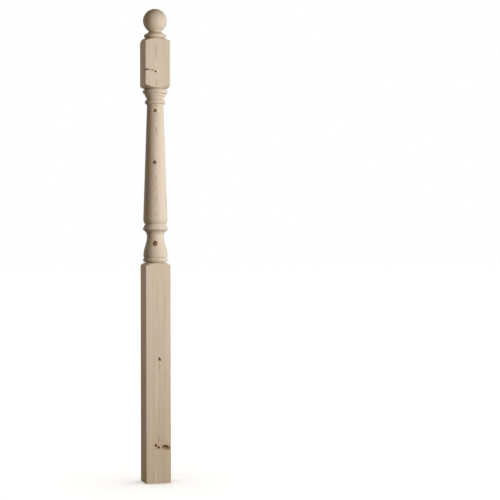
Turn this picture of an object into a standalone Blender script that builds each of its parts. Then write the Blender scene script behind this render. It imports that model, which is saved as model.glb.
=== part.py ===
"""A turned newel post: one square pine timber with two blocks left square, a vase, a collar and a
tapered shaft turned between them, and a ball on a ringed neck turned at the top.

Metres, +Z up. The turning axis is Z, the sawn foot stands on Z = 0 and the front face looks along -Y.
"""

import math

import bmesh
import bpy
from mathutils import Matrix

# The timber
STOCK_WIDTH = 0.080
ARRIS_EASING = 0.0012

# Lengths along the axis, from the foot up
BASE_BLOCK_LENGTH = 0.6838
BASE_SHOULDER_LENGTH = 0.0121
BASE_QUIRK_LENGTH = 0.001
BASE_BEAD_LENGTH = 0.0134
VASE_FOOT_LENGTH = 0.0092
VASE_SWEEP_LENGTH = 0.0585
COLLAR_COVE_LENGTH = 0.0211
COLLAR_EDGE_LENGTH = 0.0019
COLLAR_SLOPE_LENGTH = 0.0169
SHAFT_FOOT_LENGTH = 0.0166
SHAFT_TAPER_LENGTH = 0.3618
SHAFT_BEAD_LENGTH = 0.0146
BELL_LENGTH = 0.0135
BELL_FILLET_LENGTH = 0.005
HEAD_BEAD_LENGTH = 0.0137
HEAD_QUIRK_LENGTH = 0.0013
HEAD_FOOT_SHOULDER_LENGTH = 0.0141
HEAD_BLOCK_LENGTH = 0.1342
HEAD_TOP_SHOULDER_LENGTH = 0.0142
CAP_QUIRK_LENGTH = 0.0022
CAP_BEAD_LENGTH = 0.0106
CAP_COVE_LENGTH = 0.010

# Depths of cut, from the middle of a square face in to the turned surface
BASE_QUIRK_DEPTH = 0.0090
BASE_BEAD_EDGE_DEPTH = 0.0053
BASE_BEAD_DEPTH = 0.0006
VASE_FOOT_DEPTH = 0.0047
VASE_BULGE_DEPTH = 0.0017
VASE_NECK_DEPTH = 0.0131
COLLAR_DEPTH = 0.0003
COLLAR_GROOVE_DEPTH = 0.0080
SHAFT_FOOT_DEPTH = 0.0016
SHAFT_HEAD_DEPTH = 0.0140
SHAFT_BEAD_DEPTH = 0.0074
BELL_NECK_DEPTH = 0.0137
BELL_FILLET_DEPTH = 0.0071
HEAD_BEAD_DEPTH = 0.0009
HEAD_BEAD_EDGE_DEPTH = 0.0045
HEAD_QUIRK_DEPTH = 0.0090
CAP_QUIRK_DEPTH = 0.0115
CAP_BEAD_EDGE_DEPTH = 0.0075
CAP_BEAD_DEPTH = 0.0048
CAP_BEAD_TOP_DEPTH = 0.0115
CAP_NECK_DEPTH = 0.0204
BALL_DEPTH = 0.0021

# Shapes of the curves, as shares of the member that they belong to
SHOULDER_FULLNESS = 0.58
SHOULDER_DROP = 0.41
COVE_FULLNESS = 0.69
COLLAR_SWELL = 0.12
BELL_HOLLOW = 0.14
CAP_HOLLOW = 0.17

# How finely the round forms are divided
TURNING_SIDES = 48
QUARTER_STEPS = 4
SHOULDER_STEPS = 4
COVE_STEPS = 5
SLOPE_STEPS = 3
SWEEP_STEPS = 9
BALL_STEPS = 14
ARRIS_STEPS = 2
ARRIS_ROUNDNESS = 0.5
SMOOTH_ANGLE = math.radians(32)

# How far the square stock and the turned envelope run past each other
OVERCUT = 0.002

# Points nearer than this are one point, such as the copies of each pole
MERGE_DISTANCE = 1e-6

HALF_WIDTH = STOCK_WIDTH / 2
BLOCK_REACH = HALF_WIDTH * math.sqrt(2) + OVERCUT

PINE_COLOUR = (0.69, 0.52, 0.35, 1.0)
PINE_ROUGHNESS = 0.62


def clear_scene():
    for obj in list(bpy.data.objects):
        bpy.data.objects.remove(obj, do_unlink=True)


def pine():
    material = bpy.data.materials.new("pine")
    material.use_nodes = True
    shader = material.node_tree.nodes["Principled BSDF"]
    shader.inputs["Base Color"].default_value = PINE_COLOUR
    shader.inputs["Roughness"].default_value = PINE_ROUGHNESS
    shader.inputs["Metallic"].default_value = 0.0
    return material


def quarter_turns():
    return [math.radians(90) * step / QUARTER_STEPS for step in range(1, QUARTER_STEPS + 1)]


class Outline:
    """The turned outline, drawn up the axis: each move adds points of (radius, height)."""

    def __init__(self, radius, height):
        self.points = [(radius, height)]

    def end(self):
        return self.points[-1]

    def line(self, radius, rise):
        """A straight run, a cylinder or a cone."""
        self.points.append((radius, self.end()[1] + rise))

    def round_out(self, radius, rise):
        """A convex quarter round that leaves square to the axis and ends running along it."""
        start_radius, start_height = self.end()
        for turn in quarter_turns():
            outward = start_radius + (radius - start_radius) * math.sin(turn)
            upward = start_height + rise * (1 - math.cos(turn))
            self.points.append((outward, upward))

    def round_in(self, radius, rise):
        """A convex quarter round that leaves along the axis and ends running square to it."""
        start_radius, start_height = self.end()
        for turn in quarter_turns():
            outward = radius + (start_radius - radius) * math.cos(turn)
            upward = start_height + rise * math.sin(turn)
            self.points.append((outward, upward))

    def bend(self, elbow, end, steps):
        """A smooth bend that leaves towards the elbow and arrives from it."""
        start = self.end()
        for step in range(1, steps + 1):
            share = step / steps
            first, middle, last = (1 - share) ** 2, 2 * share * (1 - share), share**2
            outward = first * start[0] + middle * elbow[0] + last * end[0]
            upward = first * start[1] + middle * elbow[1] + last * end[1]
            self.points.append((outward, upward))

    def sweep(self, radius, rise):
        """An ogee that runs along the axis at both ends."""
        start_radius, start_height = self.end()
        for step in range(1, SWEEP_STEPS + 1):
            share = step / SWEEP_STEPS
            ease = (1 - math.cos(math.pi * share)) / 2
            outward = start_radius + (radius - start_radius) * ease
            self.points.append((outward, start_height + rise * share))

    def bead(self, crest_radius, end_radius, length):
        """A torus between two grooves."""
        self.round_out(crest_radius, length / 2)
        self.round_in(end_radius, length / 2)


def cut_to(depth):
    """The radius that a cut of this depth leaves under the middle of a square face."""
    return HALF_WIDTH - depth


def add_shoulder_in(outline, groove_radius, length):
    """The rounded upper end of a block, from past its corners in to the groove above it."""
    radius, height = outline.end()
    top = height + length
    elbow_radius = groove_radius + (radius - groove_radius) * SHOULDER_FULLNESS
    elbow = (elbow_radius, top - length * SHOULDER_DROP)
    outline.bend(elbow, (groove_radius, top), SHOULDER_STEPS)


def add_shoulder_out(outline, length):
    """The rounded lower end of a block, from the groove below it out past its corners."""
    radius, height = outline.end()
    elbow_radius = radius + (BLOCK_REACH - radius) * SHOULDER_FULLNESS
    elbow = (elbow_radius, height + length * SHOULDER_DROP)
    outline.bend(elbow, (BLOCK_REACH, height + length), SHOULDER_STEPS)


def add_cove_out(outline, radius, length):
    """A hollow that leaves along the axis and flares out to the given radius."""
    start_radius, height = outline.end()
    elbow = (start_radius, height + length * COVE_FULLNESS)
    outline.bend(elbow, (radius, height + length), COVE_STEPS)


def add_bowed_slope(outline, radius, length, bow):
    """A cone whose side bows out by this share of its width, or in where the share is negative."""
    start_radius, height = outline.end()
    width = abs(start_radius - radius)
    elbow = ((start_radius + radius) / 2 + 2 * bow * width, height + length / 2)
    outline.bend(elbow, (radius, height + length), SLOPE_STEPS)


def add_base(outline):
    outline.line(BLOCK_REACH, OVERCUT + BASE_BLOCK_LENGTH)
    add_shoulder_in(outline, cut_to(BASE_QUIRK_DEPTH), BASE_SHOULDER_LENGTH)
    outline.line(cut_to(BASE_QUIRK_DEPTH), BASE_QUIRK_LENGTH)
    outline.line(cut_to(BASE_BEAD_EDGE_DEPTH), 0.0)
    outline.bead(cut_to(BASE_BEAD_DEPTH), cut_to(VASE_FOOT_DEPTH), BASE_BEAD_LENGTH)


def add_vase_and_collar(outline):
    outline.round_out(cut_to(VASE_BULGE_DEPTH), VASE_FOOT_LENGTH)
    outline.sweep(cut_to(VASE_NECK_DEPTH), VASE_SWEEP_LENGTH)
    add_cove_out(outline, cut_to(COLLAR_DEPTH), COLLAR_COVE_LENGTH)
    outline.line(cut_to(COLLAR_DEPTH), COLLAR_EDGE_LENGTH)
    add_bowed_slope(outline, cut_to(COLLAR_GROOVE_DEPTH), COLLAR_SLOPE_LENGTH, COLLAR_SWELL)


def add_shaft(outline):
    outline.round_out(cut_to(SHAFT_FOOT_DEPTH), SHAFT_FOOT_LENGTH)
    outline.line(cut_to(SHAFT_HEAD_DEPTH), SHAFT_TAPER_LENGTH)
    outline.bead(cut_to(SHAFT_BEAD_DEPTH), cut_to(BELL_NECK_DEPTH), SHAFT_BEAD_LENGTH)
    add_bowed_slope(outline, cut_to(BELL_FILLET_DEPTH), BELL_LENGTH, -BELL_HOLLOW)
    outline.line(cut_to(BELL_FILLET_DEPTH), BELL_FILLET_LENGTH)


def add_head(outline):
    outline.bead(cut_to(HEAD_BEAD_DEPTH), cut_to(HEAD_BEAD_EDGE_DEPTH), HEAD_BEAD_LENGTH)
    outline.line(cut_to(HEAD_QUIRK_DEPTH), 0.0)
    outline.line(cut_to(HEAD_QUIRK_DEPTH), HEAD_QUIRK_LENGTH)
    add_shoulder_out(outline, HEAD_FOOT_SHOULDER_LENGTH)
    outline.line(BLOCK_REACH, HEAD_BLOCK_LENGTH)
    add_shoulder_in(outline, cut_to(CAP_QUIRK_DEPTH), HEAD_TOP_SHOULDER_LENGTH)


def add_cap_and_ball(outline):
    outline.line(cut_to(CAP_QUIRK_DEPTH), CAP_QUIRK_LENGTH)
    outline.line(cut_to(CAP_BEAD_EDGE_DEPTH), 0.0)
    outline.bead(cut_to(CAP_BEAD_DEPTH), cut_to(CAP_BEAD_TOP_DEPTH), CAP_BEAD_LENGTH)
    add_bowed_slope(outline, cut_to(CAP_NECK_DEPTH), CAP_COVE_LENGTH, -CAP_HOLLOW)
    ball_radius = cut_to(BALL_DEPTH)
    neck_radius, neck_height = outline.end()
    neck_turn = math.asin(neck_radius / ball_radius)
    centre = neck_height + ball_radius * math.cos(neck_turn)
    for step in range(1, BALL_STEPS):
        turn = neck_turn + (math.pi - neck_turn) * step / BALL_STEPS
        outline.points.append((ball_radius * math.sin(turn), centre - ball_radius * math.cos(turn)))
    outline.points.append((0.0, centre + ball_radius))


def post_outline():
    outline = Outline(0.0, -OVERCUT)
    outline.line(BLOCK_REACH, 0.0)
    add_base(outline)
    add_vase_and_collar(outline)
    add_shaft(outline)
    add_head(outline)
    add_cap_and_ball(outline)
    return outline.points


def link_object(name, bm, material):
    bmesh.ops.recalc_face_normals(bm, faces=bm.faces)
    mesh = bpy.data.meshes.new(name)
    bm.to_mesh(mesh)
    bm.free()
    mesh.materials.append(material)
    obj = bpy.data.objects.new(name, mesh)
    bpy.context.scene.collection.objects.link(obj)
    return obj


def turned_envelope(points, material):
    """The outline spun about the axis. It runs past the corners wherever the post stays square."""
    bm = bmesh.new()
    verts = [bm.verts.new((radius, 0.0, height)) for radius, height in points]
    edges = [bm.edges.new(pair) for pair in zip(verts, verts[1:])]
    bmesh.ops.spin(
        bm,
        geom=verts + edges,
        cent=(0, 0, 0),
        axis=(0, 0, 1),
        angle=math.tau,
        steps=TURNING_SIDES,
        use_merge=True,
    )
    bmesh.ops.remove_doubles(bm, verts=bm.verts, dist=MERGE_DISTANCE)
    envelope = link_object("turned_envelope", bm, material)
    envelope.data.shade_smooth()
    envelope.data.set_sharp_from_angle(angle=SMOOTH_ANGLE)
    envelope.hide_render = True
    envelope.display_type = "WIRE"
    return envelope


def square_stock(name, height, material):
    """The planed timber, a little taller than the finished post, with its four long arrises eased."""
    bm = bmesh.new()
    size = Matrix.Diagonal((STOCK_WIDTH, STOCK_WIDTH, height, 1.0))
    bmesh.ops.create_cube(bm, size=1.0, matrix=Matrix.Translation((0, 0, height / 2)) @ size)
    arrises = [edge for edge in bm.edges if abs(edge.verts[0].co.z - edge.verts[1].co.z) > OVERCUT]
    bmesh.ops.bevel(
        bm,
        geom=arrises,
        offset=ARRIS_EASING,
        offset_type="OFFSET",
        segments=ARRIS_STEPS,
        profile=ARRIS_ROUNDNESS,
        affect="EDGES",
    )
    return link_object(name, bm, material)


def main():
    clear_scene()
    material = pine()
    points = post_outline()
    envelope = turned_envelope(points, material)
    post = square_stock("newel_post", points[-1][1] + OVERCUT, material)
    turning = post.modifiers.new("turning", "BOOLEAN")
    turning.operation = "INTERSECT"
    turning.solver = "EXACT"
    turning.object = envelope


main()
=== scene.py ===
"""The looks of a turned pine newel post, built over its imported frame.

Metres, +Z up, with the front face towards -Y. The wood's texture is worked out in millimetres.
"""

import math
from collections import namedtuple

import bpy
import numpy as np
from mathutils import Matrix, Vector


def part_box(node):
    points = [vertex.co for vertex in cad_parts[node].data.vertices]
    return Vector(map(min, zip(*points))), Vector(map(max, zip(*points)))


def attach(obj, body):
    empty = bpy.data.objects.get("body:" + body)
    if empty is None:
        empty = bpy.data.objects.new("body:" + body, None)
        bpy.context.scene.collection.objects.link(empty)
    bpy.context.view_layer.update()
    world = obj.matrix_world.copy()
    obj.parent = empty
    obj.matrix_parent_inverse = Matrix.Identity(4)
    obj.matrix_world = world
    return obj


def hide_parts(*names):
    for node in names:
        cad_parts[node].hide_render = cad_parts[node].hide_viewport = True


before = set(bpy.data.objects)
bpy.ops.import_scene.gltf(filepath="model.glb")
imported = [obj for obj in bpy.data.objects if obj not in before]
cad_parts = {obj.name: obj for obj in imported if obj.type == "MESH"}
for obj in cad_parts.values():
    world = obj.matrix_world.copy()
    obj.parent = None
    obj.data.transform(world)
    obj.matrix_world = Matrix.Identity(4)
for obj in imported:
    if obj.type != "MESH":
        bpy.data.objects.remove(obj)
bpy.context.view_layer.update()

POST_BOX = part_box("newel_post")

# The timber: its height and width read from the frame, and how much its arrises are eased
POST_HEIGHT = POST_BOX[1][2] - POST_BOX[0][2]
STOCK_WIDTH = POST_BOX[1][0] - POST_BOX[0][0]
HALF_WIDTH = STOCK_WIDTH / 2
ARRIS_EASING = 0.0012

# Lengths of the turned members, from the base block up
BASE_SHOULDER_LENGTH = 0.0121
BASE_QUIRK_LENGTH = 0.001
BASE_BEAD_LENGTH = 0.0134
VASE_FOOT_LENGTH = 0.0092
VASE_SWEEP_LENGTH = 0.0585
COLLAR_COVE_LENGTH = 0.0211
COLLAR_EDGE_LENGTH = 0.0019
COLLAR_SLOPE_LENGTH = 0.0169
SHAFT_FOOT_LENGTH = 0.0166
SHAFT_TAPER_LENGTH = 0.3618
SHAFT_BEAD_LENGTH = 0.0146
BELL_LENGTH = 0.0135
BELL_FILLET_LENGTH = 0.005
HEAD_BEAD_LENGTH = 0.0137
HEAD_QUIRK_LENGTH = 0.0013
HEAD_FOOT_SHOULDER_LENGTH = 0.0141
HEAD_BLOCK_LENGTH = 0.1342
HEAD_TOP_SHOULDER_LENGTH = 0.0142
CAP_QUIRK_LENGTH = 0.0022
CAP_BEAD_LENGTH = 0.0106
CAP_COVE_LENGTH = 0.010

# Radii of the turned surfaces, as depths below the middle of a square face
BASE_QUIRK_RADIUS = HALF_WIDTH - 0.0090
BASE_BEAD_EDGE_RADIUS = HALF_WIDTH - 0.0053
BASE_BEAD_RADIUS = HALF_WIDTH - 0.0006
VASE_FOOT_RADIUS = HALF_WIDTH - 0.0047
VASE_BULGE_RADIUS = HALF_WIDTH - 0.0017
VASE_NECK_RADIUS = HALF_WIDTH - 0.0131
COLLAR_RADIUS = HALF_WIDTH - 0.0003
COLLAR_GROOVE_RADIUS = HALF_WIDTH - 0.0080
SHAFT_FOOT_RADIUS = HALF_WIDTH - 0.0016
SHAFT_HEAD_RADIUS = HALF_WIDTH - 0.0140
SHAFT_BEAD_RADIUS = HALF_WIDTH - 0.0074
BELL_NECK_RADIUS = HALF_WIDTH - 0.0137
BELL_FILLET_RADIUS = HALF_WIDTH - 0.0071
HEAD_BEAD_RADIUS = HALF_WIDTH - 0.0009
HEAD_BEAD_EDGE_RADIUS = HALF_WIDTH - 0.0045
HEAD_QUIRK_RADIUS = HALF_WIDTH - 0.0090
CAP_QUIRK_RADIUS = HALF_WIDTH - 0.0115
CAP_BEAD_EDGE_RADIUS = HALF_WIDTH - 0.0075
CAP_BEAD_RADIUS = HALF_WIDTH - 0.0048
CAP_BEAD_TOP_RADIUS = HALF_WIDTH - 0.0115
CAP_NECK_RADIUS = HALF_WIDTH - 0.0204
BALL_RADIUS = HALF_WIDTH - 0.0021

# Shapes of the curves, as shares of the member that they belong to
SHOULDER_FULLNESS = 0.58
SHOULDER_DROP = 0.41
COVE_FULLNESS = 0.69
COLLAR_SWELL = 0.12
BELL_HOLLOW = 0.14
CAP_HOLLOW = 0.17

# The cutter leaves the timber a little past the corners of a block
OVERCUT = 0.002
BLOCK_REACH = HALF_WIDTH * math.sqrt(2) + OVERCUT

# How finely the outline is drawn, and how much the sanding eases its edges
CURVE_STEPS = 40
BALL_STEPS = 240
FINE_STEP = 0.0001
EDGE_SOFTNESS = 0.00024
SOFTENING_REACH = 3 * EDGE_SOFTNESS

# Rows of the mesh: the sag that they leave out, their turn at an edge, and their widest gap
ROW_SAG = 0.000012
EDGE_TURN = math.radians(30)
ROW_GAP = 0.014

# The rows beside each edge, and how far the other rows stay from an edge and from the poles
EDGE_ROWS = (0.0002, 0.00045, 0.0008)
EDGE_CLEARANCE = 1.4 * EDGE_ROWS[-1]
POLE_CLEARANCE = 0.1 * EDGE_ROWS[-1]

# Columns of the mesh across half a face, and how far the last one stays from the arris
FACE_COLUMNS = 15
ARRIS_MARGIN = math.radians(0.9)

# How unevenly the arrises are eased, as a share, and how far under the square section that ends
EASING_SPREAD = 0.28
EASING_FADE = 0.00045

# Each wave of that: its share, its length up the post, and its shift from arris to arris
EASING_WAVES = ((0.6, 0.107, 2.4), (0.4, 0.042, 5.1))


class Outline:
    """A turned outline, drawn up the axis: each move adds points of (radius, height)."""

    def __init__(self, radius, height):
        self.points = [(radius, height)]

    def end(self):
        return self.points[-1]

    def line(self, radius, rise):
        self.points.append((radius, self.end()[1] + rise))

    def round_out(self, radius, rise):
        """A convex quarter round that leaves square to the axis and ends running along it."""
        start_radius, start_height = self.end()
        for turn in np.linspace(0, math.pi / 2, CURVE_STEPS + 1)[1:]:
            outward = start_radius + (radius - start_radius) * math.sin(turn)
            self.points.append((outward, start_height + rise * (1 - math.cos(turn))))

    def round_in(self, radius, rise):
        """A convex quarter round that leaves along the axis and ends running square to it."""
        start_radius, start_height = self.end()
        for turn in np.linspace(0, math.pi / 2, CURVE_STEPS + 1)[1:]:
            outward = radius + (start_radius - radius) * math.cos(turn)
            self.points.append((outward, start_height + rise * math.sin(turn)))

    def bead(self, crest_radius, end_radius, length):
        """Out to a crest and back in, half the length each."""
        self.round_out(crest_radius, length / 2)
        self.round_in(end_radius, length / 2)

    def bend(self, elbow, end):
        """A smooth bend that leaves towards the elbow and arrives from it."""
        start = self.end()
        for share in np.linspace(0, 1, CURVE_STEPS + 1)[1:]:
            first, middle, last = (1 - share) ** 2, 2 * share * (1 - share), share**2
            outward = first * start[0] + middle * elbow[0] + last * end[0]
            upward = first * start[1] + middle * elbow[1] + last * end[1]
            self.points.append((outward, upward))

    def sweep(self, radius, rise):
        """An ogee that runs along the axis at both ends."""
        start_radius, start_height = self.end()
        for share in np.linspace(0, 1, CURVE_STEPS + 1)[1:]:
            ease = (1 - math.cos(math.pi * share)) / 2
            outward = start_radius + (radius - start_radius) * ease
            self.points.append((outward, start_height + rise * share))

    def cove_out(self, radius, length):
        """A hollow that leaves along the axis and flares out to the radius."""
        start_radius, height = self.end()
        self.bend((start_radius, height + length * COVE_FULLNESS), (radius, height + length))

    def bowed_slope(self, radius, length, bow):
        """A cone whose side bows out by this share of its width, or in where it is negative."""
        start_radius, height = self.end()
        width = abs(start_radius - radius)
        elbow = ((start_radius + radius) / 2 + 2 * bow * width, height + length / 2)
        self.bend(elbow, (radius, height + length))

    def ball_to_pole(self, ball_radius):
        """A ball that stands on the neck drawn so far, up to the pole at its top."""
        neck_radius, neck_height = self.end()
        neck_turn = math.asin(neck_radius / ball_radius)
        centre = neck_height + ball_radius * math.cos(neck_turn)
        for turn in np.linspace(neck_turn, math.pi, BALL_STEPS + 1)[1:]:
            outward = ball_radius * math.sin(turn)
            self.points.append((outward, centre - ball_radius * math.cos(turn)))

    def array(self):
        return np.array(self.points)


def shoulder(groove_radius, groove_height, length):
    """A block's rounded end, from the groove out past the corners. A negative length runs down."""
    outline = Outline(groove_radius, groove_height)
    elbow_radius = groove_radius + (BLOCK_REACH - groove_radius) * SHOULDER_FULLNESS
    elbow = (elbow_radius, groove_height + length * SHOULDER_DROP)
    outline.bend(elbow, (BLOCK_REACH, groove_height + length))
    return outline.array()


def middle_outline():
    """From the groove over the base block to the groove under the head block."""
    outline = Outline(BASE_QUIRK_RADIUS, 0.0)
    outline.line(BASE_QUIRK_RADIUS, BASE_QUIRK_LENGTH)
    outline.line(BASE_BEAD_EDGE_RADIUS, 0.0)
    outline.bead(BASE_BEAD_RADIUS, VASE_FOOT_RADIUS, BASE_BEAD_LENGTH)
    outline.round_out(VASE_BULGE_RADIUS, VASE_FOOT_LENGTH)
    outline.sweep(VASE_NECK_RADIUS, VASE_SWEEP_LENGTH)
    outline.cove_out(COLLAR_RADIUS, COLLAR_COVE_LENGTH)
    outline.line(COLLAR_RADIUS, COLLAR_EDGE_LENGTH)
    outline.bowed_slope(COLLAR_GROOVE_RADIUS, COLLAR_SLOPE_LENGTH, COLLAR_SWELL)
    outline.round_out(SHAFT_FOOT_RADIUS, SHAFT_FOOT_LENGTH)
    outline.line(SHAFT_HEAD_RADIUS, SHAFT_TAPER_LENGTH)
    outline.bead(SHAFT_BEAD_RADIUS, BELL_NECK_RADIUS, SHAFT_BEAD_LENGTH)
    outline.bowed_slope(BELL_FILLET_RADIUS, BELL_LENGTH, -BELL_HOLLOW)
    outline.line(BELL_FILLET_RADIUS, BELL_FILLET_LENGTH)
    outline.bead(HEAD_BEAD_RADIUS, HEAD_BEAD_EDGE_RADIUS, HEAD_BEAD_LENGTH)
    outline.line(HEAD_QUIRK_RADIUS, 0.0)
    outline.line(HEAD_QUIRK_RADIUS, HEAD_QUIRK_LENGTH)
    return outline.array()


def cap_outline():
    """From the groove over the head block to the top of the ball."""
    outline = Outline(CAP_QUIRK_RADIUS, 0.0)
    outline.line(CAP_QUIRK_RADIUS, CAP_QUIRK_LENGTH)
    outline.line(CAP_BEAD_EDGE_RADIUS, 0.0)
    outline.bead(CAP_BEAD_RADIUS, CAP_BEAD_TOP_RADIUS, CAP_BEAD_LENGTH)
    outline.bowed_slope(CAP_NECK_RADIUS, CAP_COVE_LENGTH, -CAP_HOLLOW)
    outline.ball_to_pole(BALL_RADIUS)
    return outline.array()


def rise_of(outline):
    return outline[-1][1] - outline[0][1]


def run_along(points):
    """How far along a line each of its points lies."""
    steps = np.linalg.norm(np.diff(points, axis=0), axis=1)
    return np.concatenate(([0.0], np.cumsum(steps)))


def soften(points):
    """The same line in fine steps with its edges eased, and how far along each step lies."""
    run = run_along(points)
    count = int(round(run[-1] / FINE_STEP))
    along = np.linspace(0, run[-1], count + 1)
    fine = np.column_stack([np.interp(along, run, points[:, axis]) for axis in (0, 1)])
    reach = int(round(SOFTENING_REACH / FINE_STEP))
    weights = np.exp(-((np.arange(-reach, reach + 1) * FINE_STEP / EDGE_SOFTNESS) ** 2) / 2)
    weights /= weights.sum()
    before = 2 * fine[0] - fine[reach:0:-1]
    after = 2 * fine[-1] - fine[-2:-reach - 2:-1]
    padded = np.concatenate((before, fine, after))
    eased = [np.convolve(padded[:, axis], weights, mode="valid") for axis in (0, 1)]
    return np.column_stack(eased), along


def joined(stretches):
    """The stretches as one line, without the points that they share."""
    return np.concatenate([stretches[0]] + [stretch[1:] for stretch in stretches[1:]])


def pick_rows(stretches):
    """Rows along a column, stretch by stretch: close together where it bends and by its edges."""
    fine, along = soften(joined(stretches))
    steps = np.diff(fine, axis=0)
    headings = np.unwrap(np.arctan2(steps[:, 1], steps[:, 0]))
    bend = np.abs(np.diff(headings, append=headings[-1])) / FINE_STEP
    # Rows leave out a sag of an eighth of the square of their gap, times the bend
    density = np.sqrt(bend / (8 * ROW_SAG)) + bend / EDGE_TURN + 1 / ROW_GAP
    progress = np.concatenate(([0.0], np.cumsum(density * np.diff(along))))
    count = int(math.ceil(progress[-1]))
    picked = np.interp(np.linspace(0, progress[-1], count + 1), progress, along)
    corners = np.concatenate(([0.0], np.cumsum([run_along(s)[-1] for s in stretches])))
    rows = []
    for start, stop in zip(corners, corners[1:]):
        before = np.array(EDGE_ROWS) if start > 0 else np.empty(0)
        after = np.array(EDGE_ROWS[::-1]) if stop < corners[-1] else np.empty(0)
        low = start + (EDGE_CLEARANCE if before.size else POLE_CLEARANCE)
        high = stop - (EDGE_CLEARANCE if after.size else POLE_CLEARANCE)
        inner = picked[(picked > low) & (picked < high)] - start
        rows.append(np.concatenate(([0.0], before, inner, stop - start - after)))
    return rows, np.diff(corners)


def fit_rows(rows, usual, length):
    """The rows of a stretch moved to one of another length. Those by its ends keep their place."""
    edge = EDGE_ROWS[-1]
    inner = edge + (rows - edge) * (length - 2 * edge) / (usual - 2 * edge)
    fitted = np.where(rows <= edge, rows, inner)
    return np.where(rows >= usual - edge, length - (usual - rows), fitted)


def square_reach(turn, easing):
    """How far the eased square section reaches, at this turn from the middle of a face."""
    turn = np.abs(turn)
    centre = HALF_WIDTH - easing
    flat = HALF_WIDTH / np.cos(turn)
    aside = centre * (np.cos(turn) - np.sin(turn))
    eased = centre * (np.cos(turn) + np.sin(turn)) + np.sqrt(np.maximum(easing**2 - aside**2, 0))
    return np.where(HALF_WIDTH * np.tan(turn) <= centre, flat, eased)


def half_face_turns():
    """The columns from the middle of a face to its arris."""
    arris_start = math.atan2(HALF_WIDTH - ARRIS_EASING, HALF_WIDTH)
    flat = np.linspace(0, arris_start - ARRIS_MARGIN, FACE_COLUMNS + 1)
    return np.concatenate((flat, [arris_start, (arris_start + math.pi / 4) / 2, math.pi / 4]))


def cut_shoulder(curve, reach):
    """The part of a shoulder inside the square section, from its groove out to the face."""
    height = np.interp(reach, curve[:, 0], curve[:, 1])
    return np.concatenate((curve[curve[:, 0] < reach], [(reach, height)]))


def column_maker():
    """A function that gives a column of the post for a reach, as lines that meet at its edges."""
    middle, cap = middle_outline(), cap_outline()
    head_length = HEAD_FOOT_SHOULDER_LENGTH + HEAD_BLOCK_LENGTH + HEAD_TOP_SHOULDER_LENGTH
    above = BASE_SHOULDER_LENGTH + rise_of(middle) + head_length + rise_of(cap)
    base_block_length = POST_HEIGHT - above
    base_groove = base_block_length + BASE_SHOULDER_LENGTH
    head_groove = base_groove + rise_of(middle)
    cap_groove = head_groove + head_length
    base_top = shoulder(BASE_QUIRK_RADIUS, base_groove, -BASE_SHOULDER_LENGTH)
    head_bottom = shoulder(HEAD_QUIRK_RADIUS, head_groove, HEAD_FOOT_SHOULDER_LENGTH)
    head_top = shoulder(CAP_QUIRK_RADIUS, cap_groove, -HEAD_TOP_SHOULDER_LENGTH)

    def stretches(reach):
        base_round = cut_shoulder(base_top, reach)[::-1]
        lower_round = cut_shoulder(head_bottom, reach)
        upper_round = cut_shoulder(head_top, reach)[::-1]
        return [
            np.array([(0.0, 0.0), (reach, 0.0)]),
            np.array([(reach, 0.0), base_round[0]]),
            base_round,
            middle + (0.0, base_groove),
            lower_round,
            np.array([lower_round[-1], upper_round[0]]),
            upper_round,
            cap + (0.0, cap_groove),
        ]

    return stretches


def post_grid():
    """Radius and height of every row and column, and each column's turn from the front."""
    stretches = column_maker()
    half = half_face_turns()
    reaches = square_reach(half, ARRIS_EASING)
    usual_rows, usual_lengths = pick_rows(stretches(reaches[-1]))
    radii, heights = [], []
    for reach in reaches:
        column = stretches(reach)
        fine, along = soften(joined(column))
        lengths = [run_along(stretch)[-1] for stretch in column]
        starts = np.concatenate(([0.0], np.cumsum(lengths)))
        fits = zip(usual_rows, usual_lengths, lengths, starts)
        rows = np.concatenate([start + fit_rows(r, usual, new) for r, usual, new, start in fits])
        radii.append(np.interp(rows[1:], along, fine[:, 0]))
        heights.append(np.interp(rows[1:], along, fine[:, 1]))
    face = list(range(len(half) - 2, 0, -1)) + list(range(len(half)))
    face_turns = np.concatenate((-half[-2:0:-1], half))
    turns = np.concatenate([face_turns + side * math.pi / 2 for side in range(4)])
    radii, heights = np.array(radii)[face * 4].T, np.array(heights)[face * 4].T
    return turns, np.tile(face_turns, 4), radii, heights


def ease_by_hand(turns, face_turns, radii, heights):
    """Lets the four arrises wander a little, as a hand-eased edge does."""
    side = np.round((turns - math.pi / 4) / (math.pi / 2)) % 4
    wave = 0.0
    for share, length, shift in EASING_WAVES:
        wave = wave + share * np.sin(math.tau * heights / length + shift * side)
    planned = square_reach(face_turns, ARRIS_EASING)
    eased = square_reach(face_turns, ARRIS_EASING * (1 + EASING_SPREAD * wave))
    on_block = np.clip(1 - (planned - radii) / EASING_FADE, 0, 1)
    return radii + (eased - planned) * on_block


def grid_mesh(name, turns, radii, heights):
    """A closed mesh over rows and columns, with a pole under its first row and over its last."""
    rows, columns = radii.shape
    places = np.stack((radii * np.sin(turns), -radii * np.cos(turns), heights), axis=-1)
    poles = [(0.0, 0.0, heights[0].mean()), (0.0, 0.0, POST_HEIGHT)]
    verts = np.concatenate((places.reshape(-1, 3), poles))
    index = np.arange(rows * columns).reshape(rows, columns)
    beside = np.roll(index, -1, axis=1)
    quads = np.stack((index[:-1], beside[:-1], beside[1:], index[1:]), axis=-1).reshape(-1, 4)
    foot, top = np.full(columns, rows * columns), np.full(columns, rows * columns + 1)
    fans = [np.stack((foot, beside[0], index[0]), axis=-1)]
    fans.append(np.stack((top, index[-1], beside[-1]), axis=-1))
    mesh = bpy.data.meshes.new(name)
    mesh.from_pydata(verts.tolist(), [], quads.tolist() + np.concatenate(fans).tolist())
    mesh.shade_smooth()
    return mesh


def new_object(name, data):
    made = bpy.data.objects.new(name, data)
    bpy.context.scene.collection.objects.link(made)
    return made


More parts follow.
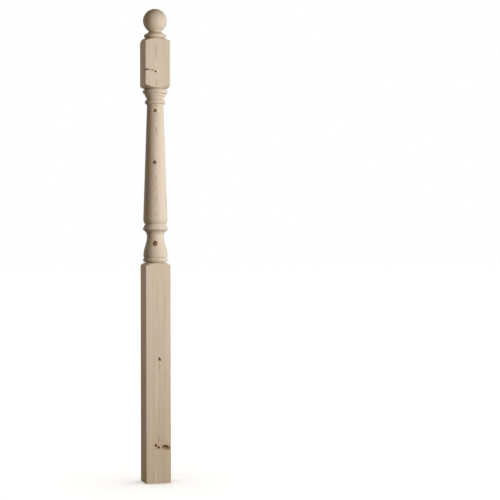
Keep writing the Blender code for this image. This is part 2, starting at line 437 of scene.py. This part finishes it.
def turned_post():
    """The whole post as one fine mesh on the outline of the CAD solid."""
    turns, face_turns, radii, heights = post_grid()
    radii = ease_by_hand(turns, face_turns, radii, heights)
    post = new_object("turned_post", grid_mesh("turned_post", turns, radii, heights))
    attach(post, "root")
    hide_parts("newel_post")
    return post


# Millimetres in a metre
MILLIMETRES = 1000.0

# The pith, in millimetres: it runs just in front of the timber, a little to the left, and leans
PITH_TURN = math.radians(-10)
PITH_OUT = 47.2
PITH_LEAN = (0.002, -0.001)

# How the rings wander: the size of the blobs, and how far they shift
SLOW_WANDER = ((110.0, 110.0, 420.0), 9.0)
QUICK_WANDER = ((24.0, 24.0, 110.0), 2.4)

# Rings are uneven by up to so many spacings, changing over this distance
RING_SPACING = 1.6
RING_UNEVENNESS = 1.6
UNEVEN_OVER = 11.0

# In each ring the late wood darkens and ends, as shares of the ring, and is this strong
LATE_START = (0.30, 0.86)
LATE_STOP = (0.90, 1.0)
RING_STRENGTH = (0.32, 1.0)

# Noise of fibres, resin canals and broad tints: the size of the blobs and the detail in them
FIBRE_NOISE = ((0.45, 0.45, 26.0), 3.0)
CANAL_NOISE = ((0.8, 0.8, 12.0), 1.0)
TINT_NOISE = ((15.0, 15.0, 260.0), 2.0)

# How the fibres shade the wood, and where a canal or a tint begins and is full in its noise
FIBRE_SHADE = (0.92, 1.08)
CANAL_EDGE = (0.70, 0.80)
CANAL_SHADE = -0.10
TINT_EDGE = (0.42, 0.66)

# Linear colours
WHITE = (1.0, 1.0, 1.0)
EARLY_PINK = (0.755, 0.655, 0.535)
EARLY_YELLOW = (0.705, 0.611, 0.472)
LATE_WOOD = (0.46, 0.343, 0.222)
REDDISH = (0.67, 0.47, 0.33)
KNOT_RED = (0.40, 0.19, 0.10)
KNOT_PALE = (0.52, 0.37, 0.24)
KNOT_DARK = (0.055, 0.020, 0.006)
KNOT_STAIN = (0.60, 0.39, 0.25)
KNOT_SPECK = (0.66, 0.50, 0.38)

# The timber is a little browner at its foot, and this fades out by the height in millimetres
FOOT_TONE = (1.03, 1.0, 0.93)
FOOT_TONE_TOP = 460.0

# Knots: the way they face and slant in degrees, place and half sizes in millimetres. The tip is
# the length of a point on top, in half heights. Heart, rim and stain say from 0 to 1 how dark
# these are and how stained the wood round the knot is. The body is its colour where it isn't dark.
# The last four knots are on the back and on the right side.
Knot = namedtuple("Knot", "turn out along height wide tall slant tip heart rim stain body")
KNOTS = (
    Knot(-12.0, 26.3, 0.0, 1175.3, 4.8, 4.9, 0, 1.0, 0.50, 0.85, 0.35, KNOT_RED),
    Knot(-16.0, 32.1, 0.0, 1011.0, 4.8, 5.0, 0, 1.3, 0.95, 1.00, 0.45, KNOT_RED),
    Knot(-14.7, 30.4, 0.0, 756.0, 6.8, 7.8, 0, 0.0, 0.55, 0.96, 0.45, KNOT_RED),
    Knot(0.0, 40.0, -27.0, 1302.4, 9.0, 1.5, 3, 0.0, 0.12, 0.08, 0.40, KNOT_PALE),
    Knot(0.0, 40.0, -35.5, 1303.2, 6.0, 2.3, 5, 0.0, 1.00, 0.95, 0.50, KNOT_RED),
    Knot(0.0, 40.0, -7.5, 1297.0, 3.1, 3.1, 0, 0.0, 1.00, 1.00, 0.30, KNOT_RED),
    Knot(0.0, 40.0, -17.0, 1300.5, 1.8, 2.0, 0, 0.0, 0.80, 0.80, 0.25, KNOT_RED),
    Knot(0.0, 40.0, -12.5, 1302.0, 1.3, 1.4, 0, 0.0, 0.50, 0.50, 0.15, KNOT_RED),
    Knot(0.0, 40.0, 3.8, 391.0, 3.3, 6.2, 25, 0.0, 1.00, 1.00, 0.25, KNOT_RED),
    Knot(0.0, 40.0, 3.6, 367.0, 0.9, 14.0, -1, 0.0, 0.12, 0.08, 0.10, KNOT_PALE),
    Knot(0.0, 40.0, -9.0, 119.8, 4.1, 4.0, 0, 0.0, 1.00, 1.00, 0.45, KNOT_RED),
    Knot(0.0, 40.0, 0.0, 113.2, 3.7, 3.6, 0, 0.0, 1.00, 1.00, 0.45, KNOT_RED),
    Knot(0.0, 40.0, 0.0, 139.0, 1.2, 16.0, 0, 0.0, 0.18, 0.12, 0.30, REDDISH),
    Knot(0.0, 40.0, 24.0, 113.2, 13.8, 7.6, -12, 0.0, 0.05, 0.55, 0.40, KNOT_PALE),
    Knot(0.0, 40.0, 22.8, 115.6, 9.5, 3.1, -20, 0.0, 1.00, 0.90, 0.10, KNOT_RED),
    Knot(180.0, 40.0, 9.0, 1306.0, 5.6, 6.4, 0, 0.0, 0.40, 0.85, 0.40, KNOT_RED),
    Knot(171.0, 31.8, 0.0, 1018.0, 4.4, 5.2, 0, 0.0, 0.50, 0.85, 0.40, KNOT_RED),
    Knot(180.0, 40.0, -11.0, 404.0, 6.2, 7.4, 0, 0.0, 0.30, 0.80, 0.40, KNOT_RED),
    Knot(90.0, 40.0, 6.0, 130.0, 5.2, 6.0, 0, 0.0, 0.60, 0.90, 0.40, KNOT_RED),
)

# How deep a knot goes, and how uneven its outline is
KNOT_DEPTH = 14.0
WOBBLE = (-0.12, 0.12)
WOBBLE_NOISE = ((2.2, 2.2, 2.6), 2.0)

# A pointed tip: its width and place as shares of the knot, and how softly it runs into it
TIP_WIDTH = 0.24
TIP_PLACE = 0.8
TIP_SOFTNESS = 0.35

# Rings bulge by so many spacings round a knot, over a share of its size and a length more
KNOT_RINGS = 2.6
BULGE_ACROSS = (0.7, 2.0)
BULGE_ALONG = (1.1, 5.0)
BULGE_SHARPNESS = 0.5

# Where the rim, the edge and the stain of a knot begin and end, with 1 at its outline
RIM_REACH = (0.4, 0.75)
KNOT_EDGE = (0.92, 1.08)
STAIN_REACH = (1.0, 2.2)

# Pale specks in knots: turn, distance out, height, half width and half height
SPECKS = (
    (-14.4, 32.1, 1009.2, 1.3, 1.6),
    (-11.2, 26.3, 1174.2, 0.7, 0.8),
    (-13.2, 30.4, 755.0, 0.9, 2.4),
)

# Reddish streaks from front to back: place across, height, half width, half length, strength
STREAKS = (
    (22.5, 568.0, 5.2, 66.0, 0.65),
    (22.0, 335.0, 2.6, 50.0, 0.75),
    (0.5, 215.0, 1.6, 45.0, 0.70),
    (21.0, 225.0, 2.4, 55.0, 0.35),
    (-6.0, 124.0, 11.0, 15.0, 0.50),
    (18.0, 133.0, 12.0, 10.0, 0.45),
)

# How sharply specks and streaks fade, and where a speck begins and is full in its field
SPOT_SHARPNESS = 1.0
SPECK_EDGE = (0.2, 0.5)

# How rough the wood is from fibre to fibre, and how much smoother a knot is
FIBRE_ROUGHNESS = (0.56, 0.68)
KNOT_POLISH = 0.14

# Relief in metres, half of it from the rings and half from the fibres
RELIEF_HEIGHT = 0.00006
RELIEF_SHARE = 0.5

# The wood's index of refraction
WOOD_IOR = 1.45


def around(turn, distance, height=0.0):
    """The place at this turn from the front and this far from the post's axis."""
    return Vector((math.sin(turn) * distance, -math.cos(turn) * distance, height))


def sideways(turn):
    """The level direction along a face that is turned this far from the front."""
    return Vector((math.cos(turn), math.sin(turn), 0.0))


class Graph:
    """Builds a node tree by short calls. A value is a number, a tuple or another node's output."""

    def __init__(self, tree):
        self.tree = tree

    def plug(self, node, values):
        """Links or sets inputs of a node."""
        for key, value in values.items():
            if isinstance(value, bpy.types.NodeSocket):
                self.tree.links.new(value, node.inputs[key])
            else:
                node.inputs[key].default_value = value

    def node(self, kind, values, output=0, **settings):
        node = self.tree.nodes.new(kind)
        for name, setting in settings.items():
            setattr(node, name, setting)
        self.plug(node, values)
        return node.outputs[output]

    def math(self, operation, *values):
        return self.node("ShaderNodeMath", dict(enumerate(values)), operation=operation)

    def vector(self, operation, *values):
        output = 1 if operation in ("LENGTH", "DOT_PRODUCT") else 0
        inputs = dict(enumerate(values))
        return self.node("ShaderNodeVectorMath", inputs, output, operation=operation)

    def scale(self, value, factor):
        inputs = {0: value, "Scale": factor}
        return self.node("ShaderNodeVectorMath", inputs, operation="SCALE")

    def square(self, value):
        return self.math("MULTIPLY", value, value)

    def squares(self, first, second):
        return self.math("ADD", self.square(first), self.square(second))

    def total(self, values):
        result = values[0]
        for value in values[1:]:
            result = self.math("ADD", result, value)
        return result

    def between(self, value, low, high):
        """A value from 0 to 1 spread evenly from low to high."""
        return self.math("MULTIPLY_ADD", value, high - low, low)

    def step(self, value, start, stop, low=0.0, high=1.0):
        """A smooth step from low to high while the value goes from start to stop."""
        inputs = {0: value, 1: start, 2: stop, 3: low, 4: high}
        return self.node("ShaderNodeMapRange", inputs, interpolation_type="SMOOTHSTEP")

    def bell(self, first, second, sharpness):
        """A soft hill over two fields: 1 where both are 0, and narrower where it is sharper."""
        spread = self.squares(first, second)
        return self.math("EXPONENT", self.math("MULTIPLY", spread, -sharpness))

    def blend(self, share, first, second):
        colours = [(*c, 1.0) if isinstance(c, tuple) else c for c in (first, second)]
        inputs = {0: share, 6: colours[0], 7: colours[1]}
        return self.node("ShaderNodeMix", inputs, 2, data_type="RGBA")

    def noise(self, place, size, detail, output=0):
        """Noise from 0 to 1, or three such as a vector, with blobs of this size along each axis."""
        scaled = self.vector("MULTIPLY", place, tuple(1.0 / length for length in size))
        inputs = {"Vector": scaled, "Scale": 1.0, "Detail": detail}
        return self.node("ShaderNodeTexNoise", inputs, output, noise_dimensions="3D")

    def noise_along(self, value, length):
        inputs = {"W": self.math("DIVIDE", value, length), "Scale": 1.0, "Detail": 1.0}
        return self.node("ShaderNodeTexNoise", inputs, noise_dimensions="1D")

    def wander(self, place, size, reach):
        """A slow sideways shift of up to about half this reach."""
        noise = self.noise(place, size, 1.0, output=1)
        centred = self.vector("SUBTRACT", noise, (0.5, 0.5, 0.5))
        return self.vector("MULTIPLY", centred, (reach, reach, 0.0))


def from_pith(graph, place, height):
    """How far each point lies from the pith, pushed about by slow and quick wander."""
    foot = around(PITH_TURN, PITH_OUT)
    flat = graph.vector("MULTIPLY", place, (1.0, 1.0, 0.0))
    pith = graph.node("ShaderNodeCombineXYZ", {
        0: graph.math("MULTIPLY_ADD", height, PITH_LEAN[0], foot.x),
        1: graph.math("MULTIPLY_ADD", height, PITH_LEAN[1], foot.y),
    })
    slow = graph.wander(place, *SLOW_WANDER)
    quick = graph.wander(place, *QUICK_WANDER)
    offset = graph.vector("SUBTRACT", flat, pith)
    shifted = graph.vector("ADD", offset, graph.vector("ADD", slow, quick))
    return graph.vector("LENGTH", shifted)


def late_wood(graph, distance):
    """The dark part of each ring, from 0 to 1. The rings are uneven in width and strength."""
    uneven = graph.math("MULTIPLY", graph.noise_along(distance, UNEVEN_OVER), RING_UNEVENNESS)
    phase = graph.math("ADD", graph.math("DIVIDE", distance, RING_SPACING), uneven)
    share = graph.math("FRACT", phase)
    start = graph.step(share, *LATE_START)
    stop = graph.step(share, *LATE_STOP, 1.0, 0.0)
    ring = graph.math("FLOOR", phase)
    chance = graph.node("ShaderNodeTexWhiteNoise", {"W": ring}, noise_dimensions="1D")
    strength = graph.between(graph.square(chance), *RING_STRENGTH)
    return graph.math("MULTIPLY", graph.math("MULTIPLY", start, stop), strength)


def spot(graph, place, heart, across, width, length):
    """A soft upright spot, 1 at its heart. The last two say how far it reaches."""
    offset = graph.vector("SUBTRACT", place, tuple(heart))
    beside = graph.vector("DOT_PRODUCT", offset, tuple(across / width))
    above = graph.vector("DOT_PRODUCT", offset, (0.0, 0.0, 1 / length))
    return graph.bell(beside, above, SPOT_SHARPNESS)


def early_wood(graph, place, height):
    """The colour between the rings: broad tints, a browner foot and reddish streaks."""
    tint = graph.step(graph.noise(place, *TINT_NOISE), *TINT_EDGE)
    colour = graph.blend(tint, EARLY_PINK, EARLY_YELLOW)
    foot_tone = graph.blend(graph.step(height, 0.0, FOOT_TONE_TOP), FOOT_TONE, WHITE)
    colour = graph.vector("MULTIPLY", colour, foot_tone)
    for along, middle, width, length, strength in STREAKS:
        streak = spot(graph, place, (along, 0.0, middle), sideways(0.0), width, length)
        colour = graph.blend(graph.math("MULTIPLY", streak, strength), colour, REDDISH)
    return colour


def knot_fields(graph, place, wobble, knot):
    """How far out from the heart a point lies, with 1 at the knot's outline, how near it is to the
    knot, and whether it lies on the knot's side of the timber. The last two go from 0 to 1.
    """
    turn, slant = math.radians(knot.turn), math.radians(knot.slant)
    level, up = sideways(turn), Vector((0, 0, 1))
    heart = around(turn, knot.out, knot.height) + level * knot.along
    across = level * math.cos(slant) + up * math.sin(slant)
    upward = up * math.cos(slant) - level * math.sin(slant)
    offset = graph.vector("SUBTRACT", place, tuple(heart))
    wide = graph.vector("DOT_PRODUCT", offset, tuple(across / knot.wide))
    tall = graph.vector("DOT_PRODUCT", offset, tuple(upward / knot.tall))
    depth = graph.vector("DOT_PRODUCT", offset, tuple(around(turn, 1.0)))
    away = graph.math("SQRT", graph.squares(wide, tall))
    if knot.tip:
        beside = graph.math("DIVIDE", wide, TIP_WIDTH)
        above = graph.math("DIVIDE", graph.math("SUBTRACT", tall, TIP_PLACE), knot.tip / 2)
        point = graph.math("SQRT", graph.squares(beside, above))
        away = graph.math("SMOOTH_MIN", away, point, TIP_SOFTNESS)
    away = graph.math("ADD", away, wobble)
    beside = graph.math("DIVIDE", wide, BULGE_ACROSS[0] + BULGE_ACROSS[1] / knot.wide)
    above = graph.math("DIVIDE", tall, BULGE_ALONG[0] + BULGE_ALONG[1] / knot.tall)
    here = graph.step(depth, -KNOT_DEPTH, -KNOT_DEPTH / 2)
    near = graph.math("MULTIPLY", graph.bell(beside, above, BULGE_SHARPNESS), here)
    return away, near, here


def stain_wood(graph, wood, knots):
    """Reddens the wood round each knot."""
    for knot, away, _, here in knots:
        stain = graph.step(away, *STAIN_REACH, knot.stain, 0.0)
        wood = graph.blend(graph.math("MULTIPLY", stain, here), wood, KNOT_STAIN)
    return wood


def lay_knots(graph, wood, knots):
    """The wood with its knots, each with a dark rim, and where it is knotty."""
    knotty = 0.0
    for knot, away, _, here in knots:
        rim = graph.step(away, *RIM_REACH, knot.heart, knot.rim)
        colour = graph.blend(rim, knot.body, KNOT_DARK)
        inside = graph.math("MULTIPLY", graph.step(away, *KNOT_EDGE, 1.0, 0.0), here)
        wood = graph.blend(inside, wood, colour)
        knotty = graph.math("MAXIMUM", inside, knotty)
    return wood, knotty


def lay_specks(graph, place, wood):
    """The wood with the pale specks in its knots."""
    for turn, out, middle, width, length in SPECKS:
        turn = math.radians(turn)
        field = spot(graph, place, around(turn, out, middle), sideways(turn), width, length)
        wood = graph.blend(graph.step(field, *SPECK_EDGE), wood, KNOT_SPECK)
    return wood


def pine():
    """Planed and turned pine: growth rings round a pith before the front face, fibres and knots."""
    material = bpy.data.materials.new("turned_pine")
    material.use_nodes = True
    graph = Graph(material.node_tree)
    place = graph.scale(graph.node("ShaderNodeTexCoord", {}, "Object"), MILLIMETRES)
    height = graph.node("ShaderNodeSeparateXYZ", {0: place}, 2)

    # Rings, which bulge round the knots
    wobble = graph.between(graph.noise(place, *WOBBLE_NOISE), *WOBBLE)
    knots = [(knot, *knot_fields(graph, place, wobble, knot)) for knot in KNOTS]
    bulges = [graph.math("MULTIPLY", near, KNOT_RINGS * RING_SPACING) for _, _, near, _ in knots]
    distance = graph.math("ADD", from_pith(graph, place, height), graph.total(bulges))
    late = late_wood(graph, distance)
    wood = graph.blend(late, early_wood(graph, place, height), LATE_WOOD)
    wood = stain_wood(graph, wood, knots)

    # The shade of the fibres and the resin canals, and the knots over it
    fibre = graph.noise(place, *FIBRE_NOISE)
    canal = graph.step(graph.noise(place, *CANAL_NOISE), *CANAL_EDGE)
    shade = graph.math("MULTIPLY_ADD", canal, CANAL_SHADE, graph.between(fibre, *FIBRE_SHADE))
    wood, knotty = lay_knots(graph, graph.scale(wood, shade), knots)
    wood = lay_specks(graph, place, wood)

    rough = graph.between(fibre, *FIBRE_ROUGHNESS)
    rough = graph.math("MULTIPLY_ADD", knotty, -KNOT_POLISH, rough)
    relief = graph.math("MULTIPLY", graph.math("ADD", late, fibre), RELIEF_SHARE)
    inputs = {"Strength": 1.0, "Distance": RELIEF_HEIGHT, "Height": relief}
    bump = graph.node("ShaderNodeBump", inputs)
    shader = material.node_tree.nodes["Principled BSDF"]
    inputs = {"Base Color": wood, "Roughness": rough, "Normal": bump, "IOR": WOOD_IOR}
    graph.plug(shader, inputs)
    return material


# The photograph's view: a level camera left of the front, turned so that the post stands left
VIEW_TURN = math.radians(-12.8)
VIEW_DISTANCE = 4.68
VIEW_HEIGHT = 0.7344
VIEW_ASIDE = math.radians(3.678)
VIEW_ROLL = math.radians(-0.127)
FOCAL_LENGTH = 105.92
SENSOR_WIDTH = 36.0

# Soft boxes that light the post alone: turn from the front in degrees, distance from the post,
# height, the height that they aim at, width and height of the box in metres, watts and colour
Light = namedtuple("Light", "name turn distance height aim_height width tall power colour")
LIGHTS = (
    Light("key", 38, 1.9, 1.05, 0.9, 0.7, 0.8, 34.6, (1.0, 1.0, 0.99)),
    Light("back", 165, 4.0, 1.6, 0.8, 1.6, 2.0, 60.0, (1.0, 0.97, 0.94)),
    Light("side", -150, 4.0, 0.9, 0.7, 1.6, 2.0, 17.5, (1.0, 0.93, 0.87)),
    Light("cool", 100, 4.0, 1.2, 0.8, 1.2, 2.0, 28.0, (0.42, 0.74, 1.0)),
)

# The floor: how far it reaches, how low it lies, its colour to the camera and to other rays, and
# the light of its own that keeps it white round a soft shadow
FLOOR_REACH = 60.0
FLOOR_DROP = 0.0003
FLOOR_COLOUR = (0.9, 0.9, 0.9)
FLOOR_BOUNCE = (0.118, 0.094, 0.070)
FLOOR_ROUGHNESS = 0.9
FLOOR_LIGHT = 3.08
FLOOR_LIGHT_SPREAD = math.radians(100)

# The light of the surround, and that of the backdrop behind the post with its soft edge
SURROUND_LIGHT = (0.205, 0.163, 0.124)
BACKDROP_LIGHT = (0.36, 0.36, 0.36)
BACKDROP_EDGE = (0.35, 0.9)


def add_camera():
    data = bpy.data.cameras.new("camera")
    data.lens = FOCAL_LENGTH
    data.sensor_width = SENSOR_WIDTH
    camera = new_object("camera", data)
    place = Matrix.Translation(around(VIEW_TURN, VIEW_DISTANCE, VIEW_HEIGHT))
    heading = Matrix.Rotation(VIEW_TURN - VIEW_ASIDE, 4, "Z")
    level = Matrix.Rotation(math.pi / 2, 4, "X")
    roll = Matrix.Rotation(VIEW_ROLL, 4, "Z")
    camera.matrix_world = place @ heading @ level @ roll
    bpy.context.scene.camera = camera


def light_only(lamp, receiver):
    """Links a light to one object, so that it lights nothing else."""
    receivers = bpy.data.collections.new(lamp.name + "_receivers")
    receivers.objects.link(receiver)
    lamp.light_linking.receiver_collection = receivers


def add_light(light, receiver):
    data = bpy.data.lights.new(light.name, "AREA")
    data.shape = "RECTANGLE"
    data.size = light.width
    data.size_y = light.tall
    data.energy = light.power
    data.color = light.colour
    lamp = new_object(light.name, data)
    lamp.location = around(math.radians(light.turn), light.distance, light.height)
    aim = Vector((0, 0, light.aim_height)) - lamp.location
    lamp.rotation_euler = aim.to_track_quat("-Z", "Y").to_euler()
    lamp.visible_camera = False
    light_only(lamp, receiver)


def add_floor():
    """A plain pale floor with a light of its own."""
    mesh = bpy.data.meshes.new("floor")
    corners = [(-1, -1), (1, -1), (1, 1), (-1, 1)]
    places = [(x * FLOOR_REACH, y * FLOOR_REACH, 0) for x, y in corners]
    mesh.from_pydata(places, [], [(0, 1, 2, 3)])
    floor = new_object("floor", mesh)
    floor.location.z = -FLOOR_DROP
    material = bpy.data.materials.new("floor")
    material.use_nodes = True
    graph = Graph(material.node_tree)
    seen = graph.node("ShaderNodeLightPath", {}, "Is Camera Ray")
    colour = graph.blend(seen, FLOOR_BOUNCE, FLOOR_COLOUR)
    shader = material.node_tree.nodes["Principled BSDF"]
    inputs = {"Base Color": colour, "Roughness": FLOOR_ROUGHNESS, "Specular IOR Level": 0.0}
    graph.plug(shader, inputs)
    mesh.materials.append(material)
    data = bpy.data.lights.new("floor_light", "SUN")
    data.energy = FLOOR_LIGHT
    data.angle = FLOOR_LIGHT_SPREAD
    light_only(new_object("floor_light", data), floor)


def add_world():
    """A white surround whose light is dim and warm, but for the backdrop behind the post."""
    world = bpy.data.worlds.new("studio")
    bpy.context.scene.world = world
    world.use_nodes = True
    graph = Graph(world.node_tree)
    seen = graph.node("ShaderNodeLightPath", {}, "Is Camera Ray")
    direction = graph.node("ShaderNodeTexCoord", {}, "Generated")
    facing = graph.vector("DOT_PRODUCT", direction, tuple(-around(VIEW_TURN, 1.0)))
    backdrop = graph.step(facing, *BACKDROP_EDGE)
    light = graph.blend(backdrop, SURROUND_LIGHT, BACKDROP_LIGHT)
    colour = graph.blend(seen, light, WHITE)
    graph.plug(world.node_tree.nodes["Background"], {"Color": colour})


def main():
    post = turned_post()
    post.data.materials.append(pine())
    add_floor()
    for light in LIGHTS:
        add_light(light, post)
    add_world()
    add_camera()
    bpy.context.scene.view_settings.view_transform = "Standard"


main()
